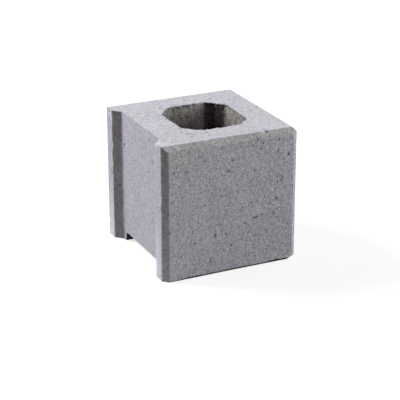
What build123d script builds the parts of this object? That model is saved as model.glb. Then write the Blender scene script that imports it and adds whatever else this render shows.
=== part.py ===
"""A half-length hollow concrete block with a grooved end, moulded in one piece.

Millimetres, +Z up. The origin is the middle of the face that the block stands on. -X is the grooved
end that meets the next block of the course, +X is the plain end and -Y is the front.
"""

import os
from math import radians, tan

from build123d import *

# Overall size.
LENGTH = 200.0
WIDTH = 200.0
HEIGHT = 190.0

# Bevel on the four upright corners and on the top edges of the front, the back and the plain end.
BEVEL = 8.0

# Upright groove in one end. A flat land lies on each side of it, between the groove and the bevel.
GROOVE_DEPTH = 11.0
LAND_WIDTH = 18.5
SPLAY_RUN = 11.0

# Concrete left round the core, measured at the top.
END_WALL = 46.0
SIDE_WALL = 47.0

# Core: a drafted hole whose corners are cut off at 45 degrees and eased where the cuts end.
CORE_CORNER = 21.0
CORE_EASE = 10.0
CORE_DRAFT_DEGREES = 1.0

# Channel under the web of the grooved end. It flares towards the bed, so that it leaves its former.
CHANNEL_HEIGHT = 13.0
CHANNEL_ROOF_WIDTH = 107.0
CHANNEL_FLARE = 3.0

# Reach of the worn bottom corner along the front edge, across the plain end and up the corner.
WEAR_ALONG = 15.5
WEAR_ACROSS = 10.5
WEAR_UP = 25.0

# Places that follow from the sizes above.
GROOVE_FLOOR_X = -LENGTH / 2 + GROOVE_DEPTH
CORE_START_X = GROOVE_FLOOR_X + END_WALL
CORE_END_X = LENGTH / 2 - END_WALL


def side_and_mirror(points):
    """A face with the given open outline on the -Y side of the X axis, and its mirror image beyond."""
    half = make_face(Polyline(*points, close=True))
    return half + mirror(half, Plane.XZ)


def plan():
    """The block seen from above: bevelled corners, and the groove with its splayed sides."""
    front_y = -WIDTH / 2
    land_outer_y = front_y + BEVEL
    land_inner_y = land_outer_y + LAND_WIDTH
    return side_and_mirror(
        [
            (GROOVE_FLOOR_X, 0),
            (GROOVE_FLOOR_X, land_inner_y + SPLAY_RUN),
            (-LENGTH / 2, land_inner_y),
            (-LENGTH / 2, land_outer_y),
            (-LENGTH / 2 + BEVEL, front_y),
            (LENGTH / 2 - BEVEL, front_y),
            (LENGTH / 2, land_outer_y),
            (LENGTH / 2, 0),
        ]
    )


def front_elevation():
    """The block seen from the front. Its top edge is bevelled at the plain end only."""
    outline = Polyline(
        (-LENGTH / 2, 0),
        (LENGTH / 2, 0),
        (LENGTH / 2, HEIGHT - BEVEL),
        (LENGTH / 2 - BEVEL, HEIGHT),
        (-LENGTH / 2, HEIGHT),
        close=True,
    )
    return Plane.XZ * make_face(outline)


def end_elevation():
    """The block seen from its end. Both top edges are bevelled."""
    outline = Polyline(
        (-WIDTH / 2, 0),
        (WIDTH / 2, 0),
        (WIDTH / 2, HEIGHT - BEVEL),
        (WIDTH / 2 - BEVEL, HEIGHT),
        (-WIDTH / 2 + BEVEL, HEIGHT),
        (-WIDTH / 2, HEIGHT - BEVEL),
        close=True,
    )
    return Plane.YZ * make_face(outline)


def outer_form():
    """What the mould box and the pressing shoe leave: the three views, each extruded, in common."""
    from_above = extrude(plan(), HEIGHT)
    from_front = extrude(front_elevation(), WIDTH / 2, both=True)
    from_end = extrude(end_elevation(), LENGTH / 2, both=True)
    return from_above & from_front & from_end


def core():
    """The hole. It is drawn upwards out of the block, so its sides lean in from the top to the bed."""
    length = CORE_END_X - CORE_START_X
    width = WIDTH - 2 * SIDE_WALL
    outline = chamfer(Rectangle(length, width).vertices(), CORE_CORNER)
    upright = extrude(Pos(CORE_START_X + length / 2, 0) * outline, HEIGHT)
    sides = upright.faces().filter_by(Axis.Z, reverse=True)
    drafted = draft(sides, Plane.XY.offset(HEIGHT), -CORE_DRAFT_DEGREES)
    corners = drafted.edges().group_by(Axis.Z)[1]
    return fillet(corners, CORE_EASE)


def channel():
    """The low passage from the groove to the core, as far as the core has its full width."""
    roof = CHANNEL_ROOF_WIDTH / 2
    section = Polyline(
        (-roof - CHANNEL_FLARE, 0),
        (roof + CHANNEL_FLARE, 0),
        (roof, CHANNEL_HEIGHT),
        (-roof, CHANNEL_HEIGHT),
        close=True,
    )
    start = Plane.YZ.offset(GROOVE_FLOOR_X)
    return extrude(start * make_face(section), END_WALL + CORE_CORNER)


def worn_corner_plane():
    """The plane that cuts off the worn corner. Its normal points out of the block."""
    on_front_edge = (LENGTH / 2 - WEAR_ALONG, -WIDTH / 2, 0)
    outwards = (1 / WEAR_ALONG, -1 / WEAR_ACROSS, -1 / WEAR_UP)
    return Plane(origin=on_front_edge, z_dir=outwards)


def concrete_block():
    """The finished block, as one solid."""
    moulded = outer_form() - core() - channel()
    return split(moulded, bisect_by=worn_corner_plane(), keep=Keep.BOTTOM)


os.makedirs("parts", exist_ok=True)
export_step(concrete_block(), "parts/concrete_block.step")
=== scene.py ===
# %% [markdown]
# # A half-length hollow concrete block
#
# A hollow block is pressed from a stiff mix of sand, fine stone and cement in a steel mould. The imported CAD
# model fixes this block's place and size. The lesson gives it the look of pressed concrete: edges that
# crumbled a little, a ragged rim round the core, pits, mottled colour and a matt grain. The first cell loads
# the frame and keeps its box, because nothing made here may reach outside it.

import bpy
import numpy as np
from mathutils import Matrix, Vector


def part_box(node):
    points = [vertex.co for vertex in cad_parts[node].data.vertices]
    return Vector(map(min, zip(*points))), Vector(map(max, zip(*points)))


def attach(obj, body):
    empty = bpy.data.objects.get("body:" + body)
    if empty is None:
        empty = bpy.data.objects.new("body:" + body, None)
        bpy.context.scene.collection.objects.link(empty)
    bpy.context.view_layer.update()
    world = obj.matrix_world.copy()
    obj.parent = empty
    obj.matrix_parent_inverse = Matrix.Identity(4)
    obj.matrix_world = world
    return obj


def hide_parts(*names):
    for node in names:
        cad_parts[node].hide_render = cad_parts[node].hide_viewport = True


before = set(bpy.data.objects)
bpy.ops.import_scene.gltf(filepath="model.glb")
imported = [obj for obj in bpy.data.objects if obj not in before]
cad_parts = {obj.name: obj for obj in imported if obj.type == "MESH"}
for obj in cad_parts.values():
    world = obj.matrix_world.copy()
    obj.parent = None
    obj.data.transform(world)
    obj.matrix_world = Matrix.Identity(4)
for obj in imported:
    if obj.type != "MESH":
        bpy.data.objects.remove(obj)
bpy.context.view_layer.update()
NODE = "concrete_block"
low, high = (np.array(corner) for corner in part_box(NODE))
MM = 0.001
print("CAD box, in metres:", low, high)

# %% [markdown]
# ## The camera
#
# A long lens far away keeps the block's upright edges almost parallel, as in a catalogue picture. The camera
# stands to the left of the front face and looks down a little. It could be turned by hand until the picture
# looks right, but a place and two angles say the same thing in numbers that are easy to read and to change.

# %% Camera
CAMERA_PLACE = Vector((-0.7950, -1.6714, 0.8044))
CAMERA_BEARING = np.radians(-25.44)
CAMERA_RISE = np.radians(21.73)
LENS_MM = 128.7
SENSOR_MM = 36.0


def aim(bearing, rise):
    """The direction that a camera looks in: (-sin b cos r, cos b cos r, -sin r).

    b is the bearing that the camera stands at, counted from -Y towards +X, and r is its rise above level.
    """
    return Vector((-np.sin(bearing) * np.cos(rise), np.cos(bearing) * np.cos(rise), -np.sin(rise)))


camera_data = bpy.data.cameras.new("photo_camera")
camera_data.lens = LENS_MM
camera_data.sensor_width = SENSOR_MM
camera = bpy.data.objects.new("photo_camera", camera_data)
camera.location = CAMERA_PLACE
camera.rotation_euler = aim(CAMERA_BEARING, CAMERA_RISE).to_track_quat("-Z", "Y").to_euler()
bpy.context.scene.collection.objects.link(camera)
bpy.context.scene.camera = camera
print("camera at", tuple(camera.location))

# %% [markdown]
# ## The sizes of the mould
#
# The new surface has to lie where the solid does. It could be copied from the CAD mesh, but that is loose
# triangles with nothing to number them by. So it is worked out again from the same sizes, which are repeated
# here. The three overall sizes come from the frame itself.

# %% Sizes
length, width, height = high - low
BEVEL = 8.0 * MM
GROOVE_DEPTH = 11.0 * MM
LAND_WIDTH = 18.5 * MM
SPLAY_RUN = 11.0 * MM
END_WALL = 46.0 * MM
SIDE_WALL = 47.0 * MM
CORE_CORNER = 21.0 * MM
CORE_EASE = 10.0 * MM
CORE_DRAFT = np.tan(np.radians(1.0))
CHANNEL_HEIGHT = 13.0 * MM
CHANNEL_ROOF_HALF = 53.5 * MM
CHANNEL_FLARE = 3.0 * MM
WEAR_REACH = np.array([15.5, 10.5, 25.0]) * MM

end_x, plain_x = low[0], high[0]
groove_x = end_x + GROOVE_DEPTH
front_y = low[1]
core_start = groove_x + END_WALL
core_end = plain_x - END_WALL
core_half = width / 2 - SIDE_WALL
channel_foot_half = CHANNEL_ROOF_HALF + CHANNEL_FLARE
print("core, in mm:", (core_end - core_start) / MM, "by", 2 * core_half / MM)

# %% [markdown]
# ## The core's outline
#
# Seen from above the core is a rectangle with cut corners, and each end of a cut is eased by a short curve.
# It could be drawn as a Bezier curve, but the surface has to ask for the point at any distance round it, so
# it is a function of that distance. Only the front half is worked out, from the web to the plain end, and the
# back half is its mirror image. The draft makes the hole smaller towards the bed, so the function takes an
# inset as well.

# %% Runs round the core
ease_tangent = CORE_EASE * np.tan(np.pi / 8)
curve_run = CORE_EASE * np.pi / 4
flat_side_run = core_half - CORE_CORNER - ease_tangent
cut_run = CORE_CORNER * np.sqrt(2) - 2 * ease_tangent
long_side_run = core_end - core_start - 2 * CORE_CORNER - 2 * ease_tangent
piece_runs = [flat_side_run, curve_run, cut_run, curve_run, long_side_run]
piece_runs = piece_runs + piece_runs[-2::-1]
run_at = np.concatenate([[0.0], np.cumsum(piece_runs)])
print("half way round the core, in mm:", run_at[-1] / MM)


# %% Core outline
def toward(a, b):
    """The unit direction from a to b: their difference over its length."""
    return (b - a) / np.linalg.norm(b - a, axis=-1, keepdims=True)


def core_corners(inset):
    """The sharp corners of half the outline, with every side moved in by the inset.

    The legs of a cut at 45 degrees get shorter by (2 - sqrt 2) times the inset.
    """
    start, end, half = core_start + inset, core_end - inset, core_half - inset
    leg = CORE_CORNER - inset * (2 - np.sqrt(2))
    level = np.zeros_like(inset)
    near_web = [(start, level), (start, leg - half), (start + leg, -half)]
    near_end = [(end - leg, -half), (end, leg - half), (end, level)]
    return [np.stack(corner, -1) for corner in near_web + near_end]


def core_outline(run, inset):
    """Points on the front half of the core's outline, in plan.

    run is the way along the outline at the top, from 0 at the middle of the web. The outline has nine
    pieces, straight and curved in turn. A straight piece is (1-t) A + t B, a blend of its ends. A curve is
    the parabola (1-t)^2 A + 2t(1-t) V + t^2 B through its tangent points A and B, with the sharp corner V
    as its control point.
    """
    run, inset = np.broadcast_arrays(run, inset)
    corners = core_corners(inset)
    ends = [corners[0]]
    for before, here, after in zip(corners, corners[1:], corners[2:]):
        ends.append(here + toward(here, before) * ease_tangent)
        ends.append(here + toward(here, after) * ease_tangent)
    ends.append(corners[-1])
    pieces = len(piece_runs)
    stage = np.interp(run, run_at, np.arange(pieces + 1))
    piece = np.minimum(stage.astype(int), pieces - 1)
    t = (stage - piece)[..., None]
    outline = np.zeros(run.shape + (2,))
    for k in range(pieces):
        place = (1 - t) * ends[k] + t * ends[k + 1]
        if k % 2:
            corner = corners[(k + 1) // 2]
            place = (1 - t) ** 2 * ends[k] + 2 * t * (1 - t) * corner + t**2 * ends[k + 1]
        outline = np.where((piece == k)[..., None], place, outline)
    return outline


print("rim at the middle of the web, in mm:", core_outline(0.0, 0.0) / MM)

# %% [markdown]
# ## Stations round the block
#
# The block with its hole is a ring, like a doughnut with flat sides. So it can be one surface of two
# parameters: one runs round the ring in plan, the other runs up the outside, over the top, down the core and
# back under the bed. Both close on themselves, which leaves no seam. The channel only lifts the bed under the
# web, so it needs no hole of its own. A box with a Boolean hole would have the same shape, but no such grid.
#
# A station is a column of that grid at which the plan has a corner. Between two stations the columns crowd
# towards both, so that the edges get small faces and the flat places get large ones.

# %% Stations
run_web = run_at[3] + curve_run / 2
run_corner = (run_at[6] + run_at[7]) / 2
land_outer_y = front_y + BEVEL
land_inner_y = front_y + BEVEL + LAND_WIDTH
splay_end_y = front_y + BEVEL + LAND_WIDTH + SPLAY_RUN
stations = [
    # outer x, outer y, bed height, run round the core, columns up to the next station
    (groove_x, 0.0, CHANNEL_HEIGHT, 0.0, 34),
    (groove_x, -CHANNEL_ROOF_HALF, CHANNEL_HEIGHT, run_web, 8),
    (groove_x, -channel_foot_half, 0.0, run_web + 2 * MM, 6),
    (groove_x, splay_end_y, 0.0, run_web + 3 * MM, 10),
    (end_x, land_inner_y, 0.0, run_web + 4.5 * MM, 12),
    (end_x, land_outer_y, 0.0, run_web + 6 * MM, 8),
    (end_x + BEVEL, front_y, 0.0, run_web + 7.5 * MM, 112),
    (plain_x - BEVEL, front_y, 0.0, run_corner - 1 * MM, 8),
    (plain_x, land_outer_y, 0.0, run_corner + 1 * MM, 52),
    (plain_x, 0.0, 0.0, run_at[-1], 0),
]
print("stations on the front half:", len(stations))

# %% Columns
CROWDING = 0.7


def crowd(count, strength):
    """count steps from 0 up to, but not at, 1, which are shorter near both ends.

    The even step t moves to t - strength sin(2 pi t) / (2 pi).
    """
    t = np.arange(count) / count
    return t - strength * np.sin(2 * np.pi * t) / (2 * np.pi)


def columns_between(a, b):
    """The columns from station a up to station b, each a straight blend (1-s) a + s b of the two."""
    steps = crowd(a[4], CROWDING)[:, None]
    return np.array(a[:4]) * (1 - steps) + np.array(b[:4]) * steps


front_half = np.concatenate([columns_between(a, b) for a, b in zip(stations, stations[1:])])
front_half = np.concatenate([front_half, [stations[-1][:4]]])
back_half = front_half[-2:0:-1] * [1, -1, 1, 1]
columns = np.concatenate([front_half, back_half])
outer, bed, run = columns[:, :2], columns[:, 2], columns[:, 3]
mirror = np.where(columns[:, 1:2] > 0, [1.0, -1.0], [1.0, 1.0])
print("columns round the ring:", len(columns))

# %% [markdown]
# ## The section of the wall
#
# Each column is a closed line of nine straight pieces: two round the foot, one up the outside, two up the
# bevel, one across the top to the core's rim, one down the core, and two back under the bed round an elbow.
# Where the top edge has no bevel, at the grooved end, the rows of the bevel lie close on both sides of the
# sharp edge. So every column has the same rows, whatever its shape.
#
# The front half is worked out with y below zero, and mirror turns it over for the back half.

# %% Foot
FOOT_ROUND = (0.5 * MM, 2.0 * MM)
FOOT_ROUND_RUN = 100 * MM
HEEL_SHARE = 0.25


def plan_normals(outline):
    """Unit directions out of a closed outline: its running direction turned clockwise by a quarter."""
    step = np.roll(outline, -1, 0) - np.roll(outline, 1, 0)
    return np.stack([step[:, 1], -step[:, 0]], -1) / np.linalg.norm(step, axis=1, keepdims=True)


# The foot is nearly sharp at the grooved end and rounder towards the plain end.
foot_way = np.clip((outer[:, 0] - end_x) / FOOT_ROUND_RUN, 0, 1)
foot_round = FOOT_ROUND[0] + (FOOT_ROUND[1] - FOOT_ROUND[0]) * foot_way
folded = outer * mirror
foot = (outer - plan_normals(outer) * foot_round[:, None]) * mirror
heel = folded - HEEL_SHARE * (folded - foot)
print("foot rounded by, in mm:", foot_round.min() / MM, "to", foot_round.max() / MM)

# %% Top edge
EDGE_STRIP = 1.6 * MM
CORNER_SPREAD = 0.08
JUST_PAST_BEVEL = 1.001 * BEVEL

# pull leads in plan from the outside to the top edge, and drop is how far the bevel comes down.
from_front = np.clip(-np.abs(outer[:, 1]) - front_y, 0, BEVEL)
from_plain_end = np.clip(plain_x - outer[:, 0], 0, BEVEL)
pull = np.stack([from_plain_end - BEVEL, BEVEL - from_front], -1)
drop = np.abs(pull).max(1)
bevelled = drop > 0.5 * BEVEL
strip = EDGE_STRIP * (1 - drop / BEVEL) * (outer[:, 0] < 0)

# At a plain corner both ends of the upright bevel would meet in one point of the top. spread parts them.
near_plain_end = outer[:, 0] > plain_x - JUST_PAST_BEVEL
on_plain_corner = near_plain_end & (np.abs(outer[:, 1]) > -front_y - JUST_PAST_BEVEL)
spread = np.stack([from_front - BEVEL / 2, BEVEL / 2 - from_plain_end], -1)
spread = np.where(on_plain_corner[:, None], spread * CORNER_SPREAD, 0)
spread = np.stack([np.minimum(spread[:, 0], 0), np.maximum(spread[:, 1], 0)], -1)
top_edge = folded + pull + spread + np.stack([strip, 0 * strip], -1)
print("columns with a bevel:", int(bevelled.sum()))

# %% Section points
# The elbow lies on the core's outline, widened until its half width is the channel's.
side_half = np.where(bed > 0, CHANNEL_ROOF_HALF, channel_foot_half)
rim = core_outline(run, 0.0)
core_foot = core_outline(run, CORE_DRAFT * (height - bed))
elbow = core_outline(run, core_half - side_half)
section = [
    (foot, bed),
    (heel, bed + HEEL_SHARE * foot_round),
    (folded, bed + foot_round),
    (folded, height - np.maximum(drop, EDGE_STRIP)),
    (folded + pull / 2, height - drop / 2),
    (top_edge, np.full_like(bed, height)),
    (rim, np.full_like(bed, height)),
    (core_foot, bed),
    (elbow, bed),
]
section = [np.column_stack([plan * mirror, z]) for plan, z in section]
print("points of a section:", len(section))

# %% [markdown]
# ## The surface
#
# The rows fill in the section between its points, and crowd towards them as the columns do. A Subdivision
# Surface could fill it in as well, but would round the plan. The rows of each piece have a name, so that
# later steps can ask how far a point lies from the rim or from the bed.

# %% Rows and surface
ROWS = {"foot": 2, "heel": 2, "wall": 100, "bevel_low": 5, "bevel_high": 5, "top": 30, "core": 36}
ROWS.update({"bed_inner": 4, "bed": 14})
EVEN_UP_TO = 10


def ring_surface():
    """The block's surface before wear, as an array of rows by columns by three.

    The point at row j of a piece and column i is A_i + s_j (B_i - A_i), where A_i and B_i are the ends of
    that piece of column i's section and s_j runs from 0 to 1, in crowded steps where there are many.
    """
    rows = []
    for (name, count), a, b in zip(ROWS.items(), section, section[1:] + section[:1]):
        steps = crowd(count, CROWDING if count > EVEN_UP_TO else 0.0)[:, None, None]
        rows.append(a + steps * (b - a))
    return np.concatenate(rows)


surface = ring_surface()
print("grid:", surface.shape[0], "rows by", surface.shape[1], "columns")

# %% [markdown]
# ## Random relief
#
# Concrete is uneven at every scale, and an even pattern looks like plastic. A Displace modifier could add it,
# but what is worked out here can also say where dirt and wear lie. Random values on a lattice of small cubes,
# blended smoothly in between, give bumps of about one cell's size. The table of values is seeded, so that
# every run gives the same block.

# %% Lattice noise
LATTICE = 64
lattice = np.random.default_rng(11).random((LATTICE, LATTICE, LATTICE))


def lattice_noise(points, cell):
    """Smooth noise between -1 and 1, with bumps about cell wide.

    A point takes the random values at the eight corners of its cube. Along each axis they are blended by
    3t^2 - 2t^3, where t is the way from the one side of the cube to the other. The shift by a third of the
    table keeps the block's middle off a corner of the lattice.
    """
    at = points / cell + LATTICE / 3
    base = np.floor(at).astype(int)
    t = at - base
    t = t * t * (3 - 2 * t)
    total = np.zeros(points.shape[:-1])
    for corner in np.ndindex(2, 2, 2):
        share = np.prod(np.where(corner, t, 1 - t), axis=-1)
        i, j, k = np.moveaxis((base + corner) % LATTICE, -1, 0)
        total += share * lattice[i, j, k]
    return 2 * total - 1


print("mean of the lattice:", round(float(lattice.mean()), 3))

# %% [markdown]
# ## The broken corner
#
# The bottom corner at the right of the front has broken off along a slanted plane. A Boolean would cut it,
# but would also break up the grid. Here the points beyond that plane are simply moved onto it.

# %% Broken corner
BREAK_UNEVEN = 0.12
BREAK_CELL = 6 * MM


def cut_corner(points):
    """Points outside the plane u/a + v/b + w/c = 1 moved onto it, at right angles to the plane.

    u, v and w are the distances from the plain end, from the front and from the bed, and a, b and c are the
    reach of the wear along each. Noise makes the plane uneven.
    """
    slope = np.array([-1, 1, 1]) / WEAR_REACH
    value = (points - [plain_x, front_y, 0.0]) @ slope
    level = 1 + BREAK_UNEVEN * lattice_noise(points, BREAK_CELL)
    return points + np.maximum(level - value, 0)[..., None] * slope / (slope @ slope)


sharp = cut_corner(surface)
print("points moved onto the broken corner:", int(np.any(sharp != surface, axis=-1).sum()))

# %% [markdown]
# ## Rounded edges
#
# No edge of a pressed block stays sharp. A Bevel modifier would round them all alike. Repeated averaging of
# each point with its four neighbours leaves flat faces flat and rounds whatever bends, as sand and handling
# do. How far a point moved along its normal then says how near to an edge it lies.
#
# The sides of the channel's mouth are narrow, and so much averaging would fill them out. There the surface is
# averaged only a little.

# %% Rounded edges
EDGE_PASSES = 9


def neighbour_mean(field):
    """The mean of each point's four neighbours on the closed grid."""
    return (np.roll(field, 1, 0) + np.roll(field, -1, 0) + np.roll(field, 1, 1) + np.roll(field, -1, 1)) / 4


def averaged(field, passes):
    """The field after so many passes of f + (mean of the neighbours - f) / 2."""
    for _ in range(passes):
        field = field + (neighbour_mean(field) - field) / 2
    return field


surface = averaged(sharp, EDGE_PASSES)
print("largest move of a point, in mm:", round(float(np.abs(surface - sharp).max()) / MM, 2))

# %% Sides of the channel
MOUTH_REACH = 7 * MM
MOUTH_RISE = 4 * MM
MOUTH_PASSES = 2

from_side = np.abs(sharp[..., 1]) - CHANNEL_ROOF_HALF - CHANNEL_FLARE
channel_side = np.exp(-((from_side / MOUTH_REACH) ** 4))
channel_side = channel_side * (sharp[..., 2] < CHANNEL_HEIGHT + MOUTH_RISE) * (sharp[..., 0] < core_start)
channel_side = averaged(channel_side, 3)[..., None]
surface += channel_side * (averaged(sharp, MOUTH_PASSES) - surface)
print("points on the channel's sides:", int((channel_side > 0.5).sum()))

# %% Nearness to an edge
EDGE_FULL = 0.28 * MM


def grid_normals(points):
    """Unit normals: the cross product of the steps to the next column and to the next row."""
    across = np.roll(points, -1, 1) - np.roll(points, 1, 1)
    along = np.roll(points, -1, 0) - np.roll(points, 1, 0)
    normal = np.cross(across, along)
    return normal / np.maximum(np.linalg.norm(normal, axis=-1, keepdims=True), 1e-12)


normals = grid_normals(surface)
moved = np.abs(np.sum((surface - sharp) * normals, axis=-1))
edge = np.clip(moved / EDGE_FULL, 0, 1)
print("share of the points on an edge:", round(float((edge > 0.5).mean()), 3))

# %% [markdown]
# ## Crumbled edges
#
# Along the edges grains have broken out. The rim of the core suffers most, because the core was drawn out
# upwards while the concrete was still green, and the edges of the bed come next, because the block is set
# down on them. Chips could be cut one by one. Here noise decides where a chip is, and only the peaks of the
# noise are cut, so that whole stretches of edge stay as they were moulded.

# %% Distance in rows
row_start = dict(zip(ROWS, np.cumsum([0] + list(ROWS.values()))))
row_number = np.arange(surface.shape[0])[:, None] * np.ones(surface.shape[1])


def row_bell(name, spread):
    """1 at the first row of the named piece, and exp(-(rows away / spread)^2) on both sides of it."""
    away = np.abs(row_number - row_start[name])
    away = np.minimum(away, surface.shape[0] - away)
    return np.exp(-((away / spread) ** 2))


print("first row of each piece:", {name: int(first) for name, first in row_start.items()})

# %% Chips
RIM_CHIP = 8.0 * MM
BED_CHIP = 1.0 * MM
OTHER_CHIP = 0.6 * MM
CHIP_LEVEL = 0.55
RIM_LOWERS_LEVEL = 0.30

rim_nearness = row_bell("core", 5.0)
bed_nearness = row_bell("heel", 5.0) * foot_way
near_edge = np.clip(2.2 * averaged(edge, 6), 0, 1)
chip_noise = 0.8 * lattice_noise(surface, 7 * MM) + lattice_noise(surface, 3 * MM)
chip_depth = OTHER_CHIP + (RIM_CHIP - OTHER_CHIP) * rim_nearness + (BED_CHIP - OTHER_CHIP) * bed_nearness
chip_level = CHIP_LEVEL - RIM_LOWERS_LEVEL * rim_nearness
chips = np.clip(chip_noise - chip_level, 0, 1) * near_edge * chip_depth
print("deepest chip, in mm:", round(float(chips.max()) / MM, 2))

# %% Lost grains
# Along the rim single grains are missing nearly everywhere.
RIM_CRUMBLE = 3.4 * MM
lost_grains = 0.2 + 0.9 * lattice_noise(surface, 5 * MM) + 0.8 * lattice_noise(surface, 2.2 * MM)
chips += RIM_CRUMBLE * np.clip(lost_grains, 0, 1) * row_bell("core", 3.0)
print("deepest chip with the lost grains, in mm:", round(float(chips.max()) / MM, 2))

# %% [markdown]
# ## Dents and large pits
#
# Knocks leave chips, and large air bubbles leave pits deep enough to hold a shadow. Sculpting would make
# them, but a list of places and radii is easier to read and to change. Each is a bell-shaped hollow. Those
# that one would know the block by have their own places, and some five hundred small ones are scattered at
# random, evenly over the area but closer together at the core's rim.

# %% Chips and pits in their own places
FRESH_CHIPS = [
    # place and radius in mm: the crumbled top of the near land, and a scratch across the far land
    ((-100, -74, 190), 3.4),
    ((-98, -79, 190), 1.9),
    ((-97, -71, 189), 2.6),
    ((-93, -67, 190), 1.9),
    ((-90, -63, 190), 1.7),
    ((-86, -61, 190), 1.3),
    ((-100, -74, 184), 2.6),
    ((-98, -72, 180), 1.7),
    ((-100, -74, 176), 1.4),
    ((-100, -74, 170), 2.0),
    ((-99, -73, 166), 1.4),
    ((-100, 80, 185), 1.9),
    ((-100, 78, 182), 1.9),
    ((-100, 76, 179), 1.9),
]
OLD_PITS = [
    ((54, -93, 189.5), 2.0),
    ((40, -92.5, 190), 1.2),
    ((90, 3, 189), 2.6),
    ((84, 45, 189), 2.0),
    ((92, -40, 187), 2.2),
    ((-72, -50, 190), 1.6),
    ((-89, 56, 144), 2.2),
]
DENT_DEPTH = 0.45


def dents(points, places, radii, depths):
    """How deep each point lies in the dents: the largest depth exp(-(distance / radius)^2) of all of them."""
    total = np.zeros(points.shape[:-1])
    for place, radius, depth in zip(places, radii, depths):
        away = np.sum((points - place) ** 2, axis=-1) / radius**2
        total = np.maximum(total, depth * np.exp(-away))
    return total


def in_metres(spots):
    """The places and the radii of a list in mm, as two arrays in metres."""
    return np.array([place for place, _ in spots]) * MM, np.array([radius for _, radius in spots]) * MM


chip_places, chip_radii = in_metres(FRESH_CHIPS)
fresh = dents(surface, chip_places, chip_radii, DENT_DEPTH * chip_radii)
old_places, old_radii = in_metres(OLD_PITS)
old = dents(surface, old_places, old_radii, DENT_DEPTH * old_radii)
print("deepest chip and pit, in mm:", round(float(fresh.max()) / MM, 2), round(float(old.max()) / MM, 2))

# %% Scattered pits
PIT_COUNT = 520
PIT_RADIUS = (0.8 * MM, 2.2 * MM)
PIT_DEPTH = (0.25, 0.6)
MORE_AT_RIM = 14


def cell_areas(points):
    """The area that each grid point stands for: the length of the cross product of its two half steps."""
    across = (np.roll(points, -1, 1) - np.roll(points, 1, 1)) / 2
    along = (np.roll(points, -1, 0) - np.roll(points, 1, 0)) / 2
    return np.linalg.norm(np.cross(across, along), axis=-1)


rng = np.random.default_rng(5)
chance = (cell_areas(surface) * (1 + MORE_AT_RIM * row_bell("core", 7.0))).reshape(-1)
chosen = rng.choice(chance.size, PIT_COUNT, replace=False, p=chance / chance.sum())
pit_places = surface.reshape(-1, 3)[chosen]
pit_radii = PIT_RADIUS[0] + (PIT_RADIUS[1] - PIT_RADIUS[0]) * rng.random(PIT_COUNT) ** 3
random_dents = dents(surface, pit_places, pit_radii, pit_radii * rng.uniform(*PIT_DEPTH, PIT_COUNT))
print("deepest scattered pit, in mm:", round(float(random_dents.max()) / MM, 2))

# %% [markdown]
# ## The worn surface
#
# The skin has broad waves and single grains, and the core's walls are rougher than the outside and streaked
# upwards, the way the core left them. Bump alone would show that, but the outlines would stay straight. So
# the surface itself is lowered. All of it is taken off inwards, against the normal, so that nothing can stand
# outside the moulded box. Where the rim's deep chips would fold its small faces over each other, a little
# averaging opens them again.

# %% Relief
BROAD = 0.15 * MM
GRAIN = 0.16 * MM
CORE_ROUGH = 0.55 * MM
UPRIGHT_STREAKS = np.array([1, 1, 0.25])

core_rows = (row_number >= row_start["core"]) & (row_number < row_start["bed_inner"])
streaked = surface * UPRIGHT_STREAKS
core_noise = 0.5 + 0.3 * lattice_noise(streaked, 5 * MM) + 0.2 * lattice_noise(surface, 4 * MM)
relief = BROAD * (0.5 + 0.5 * lattice_noise(surface, 34 * MM))
relief += GRAIN * (0.5 + 0.5 * lattice_noise(surface, 3.6 * MM))
relief += CORE_ROUGH * core_rows * core_noise
print("mean relief, in mm:", round(float(relief.mean()) / MM, 3))

# %% Worn surface
fresh = fresh * (1 + 0.8 * lattice_noise(surface, 3 * MM) + 0.9 * lattice_noise(surface, 1.5 * MM))
fresh = np.maximum(fresh, 0)
depth = relief * (1 - edge) + chips + random_dents * (1 - 0.85 * edge) + old + fresh
worn = surface - normals * depth[..., None]
at_rim = np.clip(2 * row_bell("core", 8.0), 0, 1)
worn += at_rim[..., None] * (averaged(worn, 3) - worn)
worn = np.clip(worn, low, high)
print("deepest loss, in mm:", round(float(depth.max()) / MM, 2))

# %% [markdown]
# ## Where it is rubbed pale, and a painted highlight
#
# Rubbed edges and fresh chips are paler than the skin. A mask could be painted by hand. Here it follows from
# the shape: from how near an edge is and how deep a chip goes. The upper line of the top bevels gets a
# painted highlight, for the light that the edge catches, their lower line isn't rubbed at all, the near land
# has a pale top and the far land a scratch.

# %% Rubbed edges and a painted highlight
HIGHLIGHT_ROW = 1.5
HIGHLIGHT_ROWS = 1.2
PALE_SPOTS = [((-92, -85, 190), 9), ((-84, -88, 190), 8)]
SCRATCH = ((-100, 85, 187), (-100, 76, 177))
SCRATCH_STEPS = 8
SCRATCH_RADIUS = 1.6 * MM

outside = 1 - at_rim
wear_and_highlight = edge * (0.3 + 0.8 * lattice_noise(surface, 12 * MM)) * outside
# Painted highlight along the upper line of the top bevels, where the edge catches the light.
painted_edge_highlight = np.exp(-(((row_number - row_start["top"] - HIGHLIGHT_ROW) / HIGHLIGHT_ROWS) ** 2)) * bevelled
painted_edge_highlight = painted_edge_highlight * np.clip(0.6 + 0.8 * lattice_noise(surface, 9 * MM), 0, 1)
wear_and_highlight = np.maximum(wear_and_highlight, painted_edge_highlight)
pale_top = dents(surface, *in_metres(PALE_SPOTS), [0.7, 0.6])
wear_and_highlight += pale_top * (0.6 + 0.6 * lattice_noise(surface, 3 * MM)) * (normals[..., 2] > 0.7)
scratch = np.linspace(*SCRATCH, SCRATCH_STEPS) * MM
scratch_radii = np.full(SCRATCH_STEPS, SCRATCH_RADIUS)
wear_and_highlight = np.maximum(wear_and_highlight, dents(surface, scratch, scratch_radii, np.ones(SCRATCH_STEPS)))
wear_and_highlight = wear_and_highlight * (1 - row_bell("bevel_low", 2.5) * bevelled)
print("share rubbed:", round(float((wear_and_highlight > 0.5).mean()), 3))

# %% Wear with the highlight, and pits
FULL_DEPTH = 0.7 * MM

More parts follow.
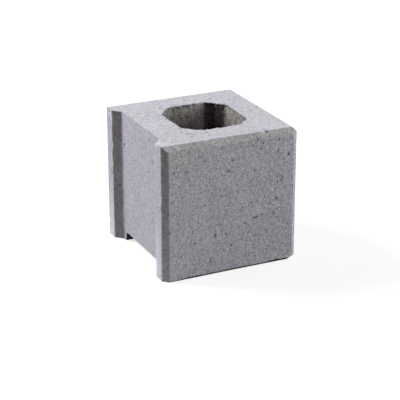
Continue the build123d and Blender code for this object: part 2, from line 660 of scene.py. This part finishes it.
wear_and_highlight = np.clip(wear_and_highlight + outside * chips / MM * 0.5 + fresh / FULL_DEPTH, 0, 1)
# The pits mark darkens the dents: painted shade in the hollows.
pits = np.clip((random_dents + old) / FULL_DEPTH, 0, 1)
print("share rubbed pale, and share in a pit:", round(float(wear_and_highlight.mean()), 3), round(float(pits.mean()), 3))

# %% [markdown]
# ## Painted shade
#
# A dark line of painted shade runs along the foot, where the block meets the floor, and it is higher towards
# the plain end. The line ends at the broken corner, and on the sides other than the front it comes and goes.
# The channel is painted dark for its shade, and a thin painted shadow line lies under the top bevels of the
# front half. All of this could be drawn too, but a mask worked out from place and direction can be changed
# with one number.

# %% Painted shade at the foot
SHADE_LINE_HEIGHT = (2.4 * MM, 3.8 * MM)
SHADE_LINE_FADE = 0.8 * MM
CORNER_FADE = 4 * MM

along_block = (surface[..., 0] - end_x) / length
shade_line_height = SHADE_LINE_HEIGHT[0] + (SHADE_LINE_HEIGHT[1] - SHADE_LINE_HEIGHT[0]) * along_block
shade_line_height = shade_line_height * (1 + 0.35 * lattice_noise(surface, 9 * MM)) * np.clip(5 * along_block, 0.1, 1)
on_wall = row_number < row_start["bevel_low"]
# Painted contact shadow: a dark line along the foot, just above the floor.
painted_shade = np.clip((shade_line_height - surface[..., 2]) / SHADE_LINE_FADE + 0.5, 0, 1) * on_wall
unbroken = np.clip((plain_x - WEAR_REACH[0] - surface[..., 0]) / CORNER_FADE + 0.5, 0, 1)
painted_shade = np.where(surface[..., 1] < front_y / 2, painted_shade * unbroken, painted_shade)
patchy_foot = np.clip(0.35 + 1.5 * lattice_noise(surface, 14 * MM), 0, 1)
painted_shade = np.where(normals[..., 1] < -0.5, painted_shade, painted_shade * patchy_foot)
print("share of the points with dirt at the foot:", round(float((painted_shade > 0.5).mean()), 3))

# %% Painted shade in the channel and under the bevel
LINE_MOST = 0.15

in_channel = (row_number >= row_start["bed_inner"]) & (surface[..., 0] < core_start + CORE_CORNER)
in_channel = in_channel & (np.abs(surface[..., 1]) < channel_foot_half + 1 * MM)
on_mouth_side = (row_number < row_start["wall"]) & (bed < CHANNEL_HEIGHT) & (outer[:, 0] == groove_x)
in_channel = in_channel | on_mouth_side & (np.abs(outer[:, 1]) < channel_foot_half)
on_flare = np.clip((np.abs(surface[..., 1]) - CHANNEL_ROOF_HALF) / (2 * MM) + 1, 0, 1)
# Painted shade in the channel, darkest on its flared sides.
painted_shade = np.where(in_channel, 0.25 + 0.3 * on_flare + 0.15 * lattice_noise(surface, 8 * MM), painted_shade)
# A thin painted shadow line under the top bevels of the front half.
line = np.clip(0.06 + 0.3 * lattice_noise(surface, 18 * MM), 0, LINE_MOST) * (surface[..., 1] < 0)
painted_shade = np.maximum(painted_shade, line * row_bell("bevel_low", 1.0) * bevelled)
print("points in the channel:", int(in_channel.sum()))

# %% [markdown]
# ## Brown tint, painted shade, olive tint and painted light
#
# Three marks lie over the grey. A brown tint covers the slanted faces that look towards the grooved end. It
# grows towards their top, which is painted shade, and in the core it is painted shade, darkest in one corner.
# An olive tint lies near the top of the outer walls, most of all on the bevels and in four places of the
# front, and on the back wall of the core. Paler colour is painted light at the foot of the lands, where the
# floor throws light back. Pictures could hold such marks, but a mask that follows from place and slope needs
# no picture and closes round every edge.

# %% Brown tint
FAR_FADE = 0.30
BEVEL_BROWN_TINT = 0.05

# slanted is 1 on an upright face at 45 degrees that looks towards the grooved end: -2 n_x |n_y|.
slanted = -2 * normals[..., 0] * np.abs(normals[..., 1])
brown_tint_and_shade = np.clip((slanted - 0.5) / 0.4, 0, 1)
# Stronger towards the top, which is painted shade where less light comes back from the floor; on the far side
# it fades less.
brown_tint_and_shade = brown_tint_and_shade * (1 - (1 - surface[..., 2] / height) * np.where(surface[..., 1] < 0, 1.0, FAR_FADE))
top_bevel = (row_number >= row_start["bevel_low"]) & (row_number < row_start["top"])
top_bevel = top_bevel * drop / BEVEL
brown_tint_and_shade = np.maximum(brown_tint_and_shade, BEVEL_BROWN_TINT * top_bevel)
print("share of the slanted faces:", round(float((slanted > 0.5).mean()), 3))

# %% Painted shade in the core
CORNER_SHADE_RADIUS = 8 * MM
CORE_SHADE_GROWS_OVER = 60 * MM

# In the core it is painted shade. It lies on the two cut corners beside the plain end's wall, is darkest in
# the far one and grows with depth.
corner_shade_middle = np.array([core_end - CORE_CORNER + 5 * MM, core_half - 3 * MM])
from_corner_shade = np.linalg.norm(surface[..., :2] - corner_shade_middle, axis=-1)
corner_shade = np.exp(-((from_corner_shade / CORNER_SHADE_RADIUS) ** 4))
depth_in_core = np.clip((high[2] - surface[..., 2]) / CORE_SHADE_GROWS_OVER, 0, 1)
on_cut = np.clip((slanted - 0.6) / 0.35, 0, 1)
brown_tint_and_shade = np.where(core_rows, np.clip(0.70 * on_cut + corner_shade + 0.3 * depth_in_core, 0, 1), brown_tint_and_shade)
print("share under film:", round(float(brown_tint_and_shade.mean()), 3))

# %% Olive tint
OLIVE_PATCHES = [
    # place and radius in mm
    ((-7, -100, 157), 14),
    ((6, -100, 147), 12),
    ((70, -100, 96), 15),
    ((-70, -100, 172), 14),
]
PATCH_STRENGTH = 0.7
BEVEL_OLIVE = 0.9
CORE_OLIVE_REACH = 70 * MM

near_top = np.clip(surface[..., 2] / height, 0, 1) ** 2
olive = PATCH_STRENGTH * dents(surface, *in_metres(OLIVE_PATCHES), np.ones(len(OLIVE_PATCHES)))
olive += np.clip(1.2 * lattice_noise(surface, 26 * MM), 0, 0.5) * near_top
olive += BEVEL_OLIVE * top_bevel
on_back_wall = core_rows * np.clip(-2 * normals[..., 1], 0, 1) * (surface[..., 1] > 0)
toward_corner_shade = np.clip((surface[..., 0] - core_start) / CORE_OLIVE_REACH, 0, 1)
olive = np.where(core_rows, on_back_wall * (1 - toward_corner_shade), olive)
olive = np.clip(olive * (1 + 0.5 * lattice_noise(surface, 6 * MM)), 0, 1)
print("share with an olive tint:", round(float(olive.mean()), 3))

# %% Painted light
LAND_LIGHT_HEIGHT = 100 * MM
FRONT_PAINTED_LIGHT = 0.14
CORE_PAINTED_LIGHT = 0.10
CORE_PAINTED_LIGHT_X = 22 * MM
CORE_PAINTED_LIGHT_SPREAD = 8 * MM

# Painted light: the lands get paler towards the foot, for the light that the floor throws back.
foot_near = np.clip(1 - surface[..., 2] / LAND_LIGHT_HEIGHT, 0, 1)
on_land = (normals[..., 0] < -0.9) & (surface[..., 0] < end_x + 2 * MM) & ~core_rows
on_land = averaged(on_land.astype(float), 2)
across_land = np.clip((-front_y - BEVEL - np.abs(surface[..., 1])) / LAND_WIDTH, 0, 1)
painted_light = foot_near * on_land * np.where(surface[..., 1] < 0, 0.4 + 1.0 * across_land, 1.0)
painted_light = np.clip(painted_light, 0, 1)

# Painted light: the front is a little paler towards its lower left, and the core's back wall is pale beside
# the corner shade.
pale_front = np.clip(1 - 1.4 * along_block, 0, 1) * np.clip(1.2 - surface[..., 2] / height, 0, 1)
painted_light = np.maximum(painted_light, FRONT_PAINTED_LIGHT * pale_front * (normals[..., 1] < -0.8) * on_wall)
beside_corner_shade = np.exp(-(((surface[..., 0] - CORE_PAINTED_LIGHT_X) / CORE_PAINTED_LIGHT_SPREAD) ** 2))
painted_light = np.maximum(painted_light, CORE_PAINTED_LIGHT * on_back_wall * beside_corner_shade)
print("share under bloom:", round(float(painted_light.mean()), 3))

# %% [markdown]
# ## Into a mesh
#
# The grid's points go into the mesh as they are, and a quad joins each to its next column and next row. They
# could be added one by one with bmesh, but foreach_set takes whole arrays at once. Six numbers for each point
# go along: its wear with a painted highlight, how deep it lies in a pit, its brown tint with painted shade,
# its painted light, its painted shade and its olive tint. The materials read them as attributes, which follow
# the surface wherever the block goes.

# %% Mesh
def ring_mesh(name, points):
    """A closed mesh over a grid that joins itself in both directions."""
    rows, cols = points.shape[:2]
    index = np.arange(rows * cols).reshape(rows, cols)
    right, up = np.roll(index, -1, 1), np.roll(index, -1, 0)
    quads = np.stack([index, right, np.roll(right, -1, 0), up], -1).reshape(-1, 4)
    mesh = bpy.data.meshes.new(name)
    mesh.vertices.add(rows * cols)
    mesh.vertices.foreach_set("co", points.reshape(-1).astype(np.float32))
    mesh.loops.add(quads.size)
    mesh.loops.foreach_set("vertex_index", quads.reshape(-1).astype(np.int32))
    mesh.polygons.add(len(quads))
    mesh.polygons.foreach_set("loop_start", np.arange(0, quads.size, 4, dtype=np.int32))
    mesh.update(calc_edges=True)
    mesh.shade_smooth()
    return mesh


block = bpy.data.objects.new("weathered_block", ring_mesh("weathered_block", worn))
bpy.context.scene.collection.objects.link(block)
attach(block, "root")
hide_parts(NODE)
print("triangles:", 2 * len(block.data.polygons))

# %% Values on the points
marks_on_points = {"wear_and_highlight": wear_and_highlight, "pits": pits, "brown_tint_and_shade": brown_tint_and_shade, "painted_light": painted_light, "painted_shade": painted_shade, "olive": olive}
for name, values in marks_on_points.items():
    attribute = block.data.attributes.new(name, "FLOAT", "POINT")
    attribute.data.foreach_set("value", values.reshape(-1).astype(np.float32))
print("attributes:", list(marks_on_points))

# %% [markdown]
# ## Building shader node groups
#
# The finishes share the same effects, each with its own values: sand and cement, air pits and placed pits. A
# node group is made once and placed in every material that needs it. Nodes can be joined by hand in the
# editor, but a script gives the same tree each time. Six small helpers keep it short: one adds a node, one
# opens a group, one feeds a socket, and three add the Math, Map Range and Noise Texture nodes.

# %% Node helpers
def add_node(tree, kind, settings=None, values=None):
    """A new node with the given settings, and the given values on its input sockets."""
    node = tree.nodes.new(kind)
    for name, setting in (settings or {}).items():
        setattr(node, name, setting)
    for name, value in (values or {}).items():
        node.inputs[name].default_value = value
    return node


def new_group(name, inputs, outputs):
    """An empty group with named number or vector sockets. It returns the tree, its input and its output."""
    tree = bpy.data.node_groups.new(name, "ShaderNodeTree")
    for label, value in inputs.items():
        kind = "NodeSocketVector" if value is None else "NodeSocketFloat"
        socket = tree.interface.new_socket(label, in_out="INPUT", socket_type=kind)
        if value is not None:
            socket.default_value = value
    for label in outputs:
        tree.interface.new_socket(label, in_out="OUTPUT", socket_type="NodeSocketFloat")
    return tree, tree.nodes.new("NodeGroupInput"), tree.nodes.new("NodeGroupOutput")


def feed(tree, value, socket):
    """The value put on the socket: a number is written there, and another socket is linked to it."""
    if isinstance(value, (int, float)):
        socket.default_value = value
    else:
        tree.links.new(value, socket)


def math(tree, operation, a, b):
    """The output of a Math node. a and b are each a socket or a number."""
    node = add_node(tree, "ShaderNodeMath", {"operation": operation})
    feed(tree, a, node.inputs[0])
    feed(tree, b, node.inputs[1])
    return node.outputs[0]


def mapped(tree, value, low_end, high_end, to_low=0.0, to_high=1.0):
    """The value taken from one range to another, and kept between the ends of the second."""
    node = add_node(tree, "ShaderNodeMapRange")
    labels = ("Value", "From Min", "From Max", "To Min", "To Max")
    for label, given in zip(labels, (value, low_end, high_end, to_low, to_high)):
        feed(tree, given, node.inputs[label])
    return node.outputs["Result"]


def noise(tree, vector, scale, detail=2.0, roughness=0.5):
    """The 0 to 1 value of a Noise Texture. scale is a socket or a number, in bumps per metre."""
    node = add_node(tree, "ShaderNodeTexNoise", values={"Detail": detail, "Roughness": roughness})
    tree.links.new(vector, node.inputs["Vector"])
    feed(tree, scale, node.inputs["Scale"])
    return node.outputs["Fac"]


# %% [markdown]
# ## Sand and cement
#
# Seen close, pressed concrete is a crowd of sand grains in grey paste, some paler and some darker, over slow
# changes where the mix was wetter or drier. One noise alone looks like cloth. So fine noise gives the paste,
# Voronoi cells of one shade each give the grains, and a wide noise gives the clouds. Where another noise is
# at its lowest a grain has fallen out, and the small hole it leaves is painted dark, as painted shade.

# %% Sand and cement
CLOUDS_PER_METRE = 26.0
SPECK_LEVELS = (0.40, 0.30)


def sand_and_cement():
    """Tone is a factor round 1 for the colour, Specks is 1 in a hole between grains, Height is the relief."""
    tree, inputs, outputs = new_group(
        "sand_and_cement",
        {"Vector": None, "Grains per Metre": 430.0, "Contrast": 1.0, "Cloud": 1.0},
        ["Tone", "Specks", "Height"],
    )
    vector, scale = inputs.outputs["Vector"], inputs.outputs["Grains per Metre"]
    paste = noise(tree, vector, scale, 3.0, 0.6)
    coarse = noise(tree, vector, math(tree, "MULTIPLY", scale, 0.4), 2.0, 0.5)
    cells = add_node(tree, "ShaderNodeTexVoronoi")
    tree.links.new(vector, cells.inputs["Vector"])
    tree.links.new(math(tree, "MULTIPLY", scale, 1.2), cells.inputs["Scale"])
    shade = add_node(tree, "ShaderNodeRGBToBW")
    tree.links.new(cells.outputs["Color"], shade.inputs[0])
    fine = None
    for part, amount in ((paste, 1.38), (coarse, 0.62), (shade.outputs[0], 0.45)):
        part = math(tree, "MULTIPLY", math(tree, "SUBTRACT", part, 0.5), amount)
        fine = part if fine is None else math(tree, "ADD", fine, part)
    fine = math(tree, "MULTIPLY", fine, inputs.outputs["Contrast"])
    cloud = math(tree, "SUBTRACT", noise(tree, vector, CLOUDS_PER_METRE, 3.0, 0.6), 0.5)
    cloud = math(tree, "MULTIPLY", cloud, inputs.outputs["Cloud"])
    tree.links.new(math(tree, "ADD", math(tree, "ADD", fine, cloud), 1.0), outputs.inputs["Tone"])
    fallen = noise(tree, vector, math(tree, "MULTIPLY", scale, 0.7), 3.0, 0.7)
    specks = mapped(tree, fallen, *SPECK_LEVELS)
    tree.links.new(specks, outputs.inputs["Specks"])
    height = math(tree, "ADD", paste, math(tree, "MULTIPLY", coarse, 0.8))
    height = math(tree, "SUBTRACT", height, math(tree, "MULTIPLY", specks, 0.6))
    tree.links.new(height, outputs.inputs["Height"])
    return tree


sand_group = sand_and_cement()
print("nodes in", sand_group.name, len(sand_group.nodes))

# %% [markdown]
# ## Air pits
#
# Air bubbles against the mould leave round pits of up to three or four millimetres, too many to model.
# Each Voronoi cell may hold one: the cell's own random colour says how large its pit is, and most cells get
# none. Noise bends the cells first, so that no pit is a perfect circle.

# %% Air pits
BENDS_PER_METRE = 500.0
BEND = 2.2 * MM


def air_pits():
    """Mask: 1 inside a pit and 0 outside."""
    tree, inputs, outputs = new_group(
        "air_pits", {"Vector": None, "Cells per Metre": 130.0, "Share": 0.25, "Radius": 0.28}, ["Mask"]
    )
    vector = inputs.outputs["Vector"]
    bend = add_node(tree, "ShaderNodeTexNoise", values={"Scale": BENDS_PER_METRE, "Detail": 1.0})
    tree.links.new(vector, bend.inputs["Vector"])
    offset = add_node(tree, "ShaderNodeVectorMath", {"operation": "SCALE"}, {"Scale": BEND})
    tree.links.new(bend.outputs["Color"], offset.inputs[0])
    bent = add_node(tree, "ShaderNodeVectorMath", {"operation": "ADD"})
    tree.links.new(vector, bent.inputs[0])
    tree.links.new(offset.outputs[0], bent.inputs[1])
    cells = add_node(tree, "ShaderNodeTexVoronoi")
    tree.links.new(bent.outputs[0], cells.inputs["Vector"])
    tree.links.new(inputs.outputs["Cells per Metre"], cells.inputs["Scale"])
    parts = add_node(tree, "ShaderNodeSeparateColor")
    tree.links.new(cells.outputs["Color"], parts.inputs[0])
    size = mapped(tree, parts.outputs[0], math(tree, "SUBTRACT", 1.0, inputs.outputs["Share"]), 1.0)
    radius = math(tree, "MULTIPLY", size, inputs.outputs["Radius"])
    mask = mapped(tree, cells.outputs["Distance"], radius, math(tree, "MULTIPLY", radius, 0.55))
    mask = math(tree, "MULTIPLY", mask, math(tree, "GREATER_THAN", size, 0.02))
    tree.links.new(mask, outputs.inputs["Mask"])
    return tree


pit_group = air_pits()
print("nodes in", pit_group.name, len(pit_group.nodes))

# %% [markdown]
# ## Pits in their own places
#
# A few pits are large enough to recognise the block by, and the Voronoi cells can't be told where to put
# them. Each has its own place and radius on the block. The mask is 1 in the middle of a pit and fades to 0
# round its radius, and noise makes the outline uneven.

# %% Placed pits
PLACED_PITS = [
    # x, y, z and radius, in mm
    ((54, -93.2, 189.2), 1.7),
    ((40, -92.3, 189.8), 0.9),
    ((54.8, -99, 183.4), 1.1),
    ((68.4, -100, 177.3), 1.7),
    ((43.1, -100, 167.8), 1.4),
    ((-0.3, -100, 158.4), 1.5),
    ((-6.8, -100, 144.2), 2.1),
    ((66.5, -100, 94.2), 1.8),
    ((61.4, -100, 74.5), 1.5),
    ((63.2, -100, 72.3), 1.5),
    ((27.9, -100, 94.4), 1.3),
    ((33.5, -100, 71.0), 1.8),
    ((36.5, -100, 71.8), 1.3),
    ((19.3, -100, 65.4), 1.4),
    ((-25.4, -100, 55.5), 1.8),
    ((-9.1, -100, 55.4), 1.4),
    ((-92, -100, 71), 1.7),
    ((-47.6, 26.8, 190), 1.9),
    ((-47.2, 7.6, 190), 1.8),
    ((-47.1, -38.6, 190), 1.9),
    ((-46.5, -59.9, 190), 1.6),
    ((-43.4, -61.4, 190), 1.5),
    ((-39.9, -65.7, 190), 1.6),
    ((-46.6, -72.7, 190), 1.6),
    ((-22.0, -65.8, 190), 1.5),
    ((-22.5, -77.1, 190), 1.3),
    ((-52, -53, 190), 1.2),
    ((-34, -80, 190), 1.1),
    ((87.8, 1.5, 190), 1.6),
    ((-89, 55.4, 144.5), 1.8),
]
UNEVENS_PER_METRE = 800.0
UNEVEN = 4.5 * MM
PIT_FADE = (1.3, 0.6)


def placed_pits():
    """Mask: 1 inside a pit of the list and 0 outside, fading between two shares of its radius."""
    tree, inputs, outputs = new_group("placed_pits", {"Vector": None}, ["Mask"])
    vector = inputs.outputs["Vector"]
    uneven = math(tree, "SUBTRACT", noise(tree, vector, UNEVENS_PER_METRE, 1.0), 0.5)
    uneven = math(tree, "MULTIPLY", uneven, UNEVEN)
    mask = None
    for place, radius in PLACED_PITS:
        away = add_node(tree, "ShaderNodeVectorMath", {"operation": "DISTANCE"})
        away.inputs[1].default_value = [value * MM for value in place]
        tree.links.new(vector, away.inputs[0])
        reach = math(tree, "ADD", away.outputs["Value"], uneven)
        inside = mapped(tree, reach, *(radius * share * MM for share in PIT_FADE))
        mask = inside if mask is None else math(tree, "MAXIMUM", mask, inside)
    tree.links.new(mask, outputs.inputs["Mask"])
    return tree


placed_group = placed_pits()
print("pits in their own places:", len(PLACED_PITS))

# %% [markdown]
# ## The finishes
#
# One block shows four finishes. Its sides lay against the steel mould, the top took the pressing shoe, the
# core's walls were dragged as the core came out, and the grooved end is smoother and a little bluer than the
# sides. The channel takes the core's finish. Four separate trees would drift apart, so one recipe makes them
# all: grey, brown where the tint and painted shade are, times the sand's tone, paler where the edges wore and
# where light and highlights are painted, and darker in the pits and where shade is painted.

# %% Colours
GREY = (0.490, 0.486, 0.538)
END_GREY = (0.486, 0.484, 0.546)
TOP_GREY = (0.560, 0.553, 0.603)
CORE_GREY = (0.330, 0.306, 0.300)
OLIVE = (0.505, 0.502, 0.508)
MOSSY = (0.196, 0.212, 0.192)
# The next two colours carry the brown tint and the painted shade: the brown one outside, the near-black one
# in the core.
BROWN_TINT_AND_SHADE = (0.294, 0.258, 0.256)
DEEP_CORE_SHADE = (0.018, 0.011, 0.009)
# The next colour is painted light, and the one after it is paler wear with a painted highlight.
PAINTED_LIGHT_COLOUR = (0.80, 0.78, 0.86)
PALE_WEAR_AND_HIGHLIGHT = (0.80, 0.79, 0.84)

# The share of the colour that is left in a hole, where the darkening is painted shade, and under the painted
# shade at the foot, in the channel and under the bevels.
IN_AIR_PIT = 0.43
IN_PLACED_PIT = 0.45
IN_SPECK = 0.60
IN_DENT = 0.60
UNDER_PAINTED_SHADE = 0.07


def blended(tree, mask, below, tint):
    """The colour below, a socket or three numbers, and the tint where the mask is 1."""
    mix = add_node(tree, "ShaderNodeMix", {"data_type": "RGBA"})
    tree.links.new(mask, mix.inputs["Factor"])
    if isinstance(below, tuple):
        mix.inputs[6].default_value = (*below, 1.0)
    else:
        tree.links.new(below, mix.inputs[6])
    mix.inputs[7].default_value = (*tint, 1.0)
    return mix.outputs[2]


def darkened(tree, colour, mask, left, full=1.0):
    """The colour times a factor that goes from 1 where the mask is 0 to left where it reaches full."""
    scale = add_node(tree, "ShaderNodeVectorMath", {"operation": "SCALE"})
    tree.links.new(mapped(tree, mask, 0.0, full, 1.0, left), scale.inputs["Scale"])
    tree.links.new(colour, scale.inputs[0])
    return scale.outputs[0]


# %% The recipe
SMALL_CELLS_PER_METRE = 260.0
PAINTED_LIGHT_SHARE = 0.85
WEAR_AND_HIGHLIGHT_SHARE = 0.75


def block_finish(name, grey, contrast, cloud, share, olive, olive_tint, tint_and_shade_colour, relief, shine):
    """A concrete material. Its values are factors for the shared effects."""
    material = bpy.data.materials.new(name)
    material.use_nodes = True
    tree = material.node_tree
    shader = tree.nodes["Principled BSDF"]
    shader.inputs["Specular IOR Level"].default_value = shine
    place = add_node(tree, "ShaderNodeTexCoord").outputs["Object"]

    def effect(group, values):
        """One of the shared groups, placed in this material with its own values."""
        node = add_node(tree, "ShaderNodeGroup", {"node_tree": group}, values)
        tree.links.new(place, node.inputs["Vector"])
        return node.outputs

    sand = effect(sand_group, {"Contrast": contrast, "Cloud": cloud})
    large = effect(pit_group, {"Share": share})
    small = effect(pit_group, {"Share": share, "Cells per Metre": SMALL_CELLS_PER_METRE})
    placed = effect(placed_group, {})
    marks = {}
    for mark in marks_on_points:
        marks[mark] = add_node(tree, "ShaderNodeAttribute", {"attribute_name": mark}).outputs["Fac"]
    patchy = mapped(tree, noise(tree, place, 45.0, 3.0), 0.35, 0.65)

    colour = blended(tree, math(tree, "MULTIPLY", marks["olive"], olive), grey, olive_tint)
    # Brown tint, which is painted shade in the core and towards the top of the slanted faces.
    brown_tint_and_shade = math(tree, "MULTIPLY", marks["brown_tint_and_shade"], mapped(tree, patchy, 0.0, 1.0, 0.8, 1.0))
    colour = blended(tree, brown_tint_and_shade, colour, tint_and_shade_colour)
    toned = add_node(tree, "ShaderNodeVectorMath", {"operation": "SCALE"})
    tree.links.new(colour, toned.inputs[0])
    tree.links.new(sand["Tone"], toned.inputs["Scale"])
    # Painted light on the lands, the front's lower left and the core's back wall.
    colour = blended(tree, math(tree, "MULTIPLY", marks["painted_light"], PAINTED_LIGHT_SHARE), toned.outputs[0], PAINTED_LIGHT_COLOUR)
    # Rubbed edges, with a painted highlight along the top bevels.
    colour = blended(tree, math(tree, "MULTIPLY", marks["wear_and_highlight"], WEAR_AND_HIGHLIGHT_SHARE), colour, PALE_WEAR_AND_HIGHLIGHT)
    # Pits, specks and dents are darkened: painted shade in the holes.
    air = math(tree, "MAXIMUM", large["Mask"], small["Mask"])
    colour = darkened(tree, colour, air, IN_AIR_PIT)
    colour = darkened(tree, colour, placed["Mask"], IN_PLACED_PIT)
    colour = darkened(tree, colour, sand["Specks"], IN_SPECK)
    colour = darkened(tree, colour, marks["pits"], IN_DENT)
    # Painted shade at the foot, in the channel and under the bevels.
    colour = darkened(tree, colour, marks["painted_shade"], UNDER_PAINTED_SHADE, 0.8)
    tree.links.new(colour, shader.inputs["Base Color"])
    rough = mapped(tree, sand["Height"], 0.5, 1.3, 0.97, 0.86)
    tree.links.new(rough, shader.inputs["Roughness"])

    holes = math(tree, "MAXIMUM", air, placed["Mask"])
    bump = add_node(tree, "ShaderNodeBump", values={"Strength": relief, "Distance": MM})
    tree.links.new(math(tree, "SUBTRACT", sand["Height"], holes), bump.inputs["Height"])
    tree.links.new(bump.outputs["Normal"], shader.inputs["Normal"])
    return material


# %% Four finishes
# name, grey, contrast, cloud, share of cells with a pit, strength and tint of the olive, colour of the brown
# tint and painted shade, relief, shine
finishes = [
    block_finish("moulded_side", GREY, 1.05, 0.20, 0.30, 1.0, OLIVE, BROWN_TINT_AND_SHADE, 1.0, 0.2),
    block_finish("pressed_top", TOP_GREY, 0.60, 0.15, 0.12, 0.3, OLIVE, BROWN_TINT_AND_SHADE, 0.7, 0.2),
    block_finish("dragged_core", CORE_GREY, 1.7, 0.5, 0.30, 0.75, MOSSY, DEEP_CORE_SHADE, 1.0, 0.05),
    block_finish("grooved_end", END_GREY, 0.65, 0.20, 0.15, 0.35, OLIVE, BROWN_TINT_AND_SHADE, 0.7, 0.2),
]
SIDE, TOP, CORE, END = range(4)
for finish in finishes:
    block.data.materials.append(finish)

# A quad belongs to the row at its foot. The top's finish starts where the bevels end.
finish_index = np.where(surface[..., 0] < groove_x + 1 * MM, END, SIDE)
finish_index[row_start["top"]:row_start["core"]] = TOP
finish_index[row_start["core"]:row_start["bed_inner"]] = CORE
finish_index[in_channel] = CORE
block.data.polygons.foreach_set("material_index", finish_index.reshape(-1).astype(np.int32))
block.data.update()
print("finishes:", [material.name for material in block.data.materials])

# %% [markdown]
# ## The floor
#
# A catalogue picture stands its object on white. More light would whiten the floor, but it would also bleach
# the concrete. The floor here is a plain surface that takes the block's shadow. What the camera sees of it is
# lifted to white through Light Path, so the lamps can stay at the level that suits the concrete. Far from the
# block it turns to plain white, so that no horizon shows.

# %% Floor
FLOOR_HALF = 6.0
floor_mesh = bpy.data.meshes.new("floor")
floor_corners = np.array([(-1, -1, 0), (1, -1, 0), (1, 1, 0), (-1, 1, 0)]) * FLOOR_HALF
floor_mesh.from_pydata(floor_corners.tolist(), [], [(0, 1, 2, 3)])
floor = bpy.data.objects.new("floor", floor_mesh)
bpy.context.scene.collection.objects.link(floor)
print("floor, in metres:", 2 * FLOOR_HALF, "square")

# %% Floor paint
SEEN_DIFFUSE = 0.45
SEEN_GLOW = 0.72
UNSEEN_GREY = 0.30
FADE_START = 0.8
FADE_END = 4.0


def seen(tree):
    """1 for rays that show the surface to the camera, straight, in a reflection or through glass."""
    path = add_node(tree, "ShaderNodeLightPath").outputs
    either = math(tree, "MAXIMUM", path["Is Camera Ray"], path["Is Glossy Ray"])
    return math(tree, "MAXIMUM", either, path["Is Transmission Ray"])


floor_paint = bpy.data.materials.new("floor_paint")
floor_paint.use_nodes = True
paint_tree = floor_paint.node_tree
paint = paint_tree.nodes["Principled BSDF"]
paint.inputs["Roughness"].default_value = 1.0
paint.inputs["Specular IOR Level"].default_value = 0.0
paint.inputs["Emission Color"].default_value = (1, 1, 1, 1)
in_view = seen(paint_tree)
from_block = add_node(paint_tree, "ShaderNodeVectorMath", {"operation": "LENGTH"})
paint_tree.links.new(add_node(paint_tree, "ShaderNodeTexCoord").outputs["Object"], from_block.inputs[0])
seen_grey = mapped(paint_tree, from_block.outputs["Value"], FADE_START, FADE_END, SEEN_DIFFUSE, 0.0)
seen_glow = mapped(paint_tree, from_block.outputs["Value"], FADE_START, FADE_END, SEEN_GLOW, 1.0)
floor_grey = mapped(paint_tree, in_view, 0.0, 1.0, UNSEEN_GREY, seen_grey)
floor_colour = add_node(paint_tree, "ShaderNodeCombineColor")
for socket in floor_colour.inputs:
    paint_tree.links.new(floor_grey, socket)
paint_tree.links.new(floor_colour.outputs[0], paint.inputs["Base Color"])
paint_tree.links.new(math(paint_tree, "MULTIPLY", in_view, seen_glow), paint.inputs["Emission Strength"])
floor_mesh.materials.append(floor_paint)
print("nodes in", floor_paint.name, len(paint_tree.nodes))

# %% [markdown]
# ## The lights
#
# Two large soft lamps stand low on opposite sides: one behind the grooved end, one to the right of the front.
# Between them the faces that look towards the near left corner get little light, which draws the bevels. One
# lamp at the camera would light those faces like the rest. A surface that faces a lamp of this power and
# distance square on renders about as bright as its own colour.

# %% Lights
LAMP_DISTANCE = 4.0
LAMP_SIZE = 2.0
FULL_LIGHT = np.pi**2 * LAMP_DISTANCE**2
AIM_AT = Vector((0.0, 0.0, 0.1))


def soft_lamp(name, bearing, rise, level):
    """A disk lamp that stands at that bearing and rise, in degrees, and looks at the block.

    bearing is counted from +X towards +Y, and level 1 is full light on a face turned to the lamp.
    """
    lamp_data = bpy.data.lights.new(name, "AREA")
    lamp_data.shape = "DISK"
    lamp_data.size = LAMP_SIZE
    lamp_data.energy = level * FULL_LIGHT
    lamp = bpy.data.objects.new(name, lamp_data)
    bearing, rise = np.radians(bearing), np.radians(rise)
    away = Vector((np.cos(bearing) * np.cos(rise), np.sin(bearing) * np.cos(rise), np.sin(rise)))
    lamp.location = AIM_AT + away * LAMP_DISTANCE
    lamp.rotation_euler = away.to_track_quat("Z", "Y").to_euler()
    bpy.context.scene.collection.objects.link(lamp)
    print(name, "of", round(lamp_data.energy), "watts")


soft_lamp("left_lamp", 135.0, 36.0, 1.05)
soft_lamp("right_lamp", -27.0, 19.0, 0.62)

# %% World
WORLD_LEVEL = 0.27
world = bpy.data.worlds.new("studio")
world.use_nodes = True
sky = world.node_tree.nodes["Background"]
sky.inputs["Color"].default_value = (1, 1, 1, 1)
sky_level = mapped(world.node_tree, seen(world.node_tree), 0.0, 1.0, WORLD_LEVEL, 1.0)
world.node_tree.links.new(sky_level, sky.inputs["Strength"])
bpy.context.scene.world = world
bpy.context.scene.view_settings.view_transform = "Standard"
print("level of the world:", WORLD_LEVEL)
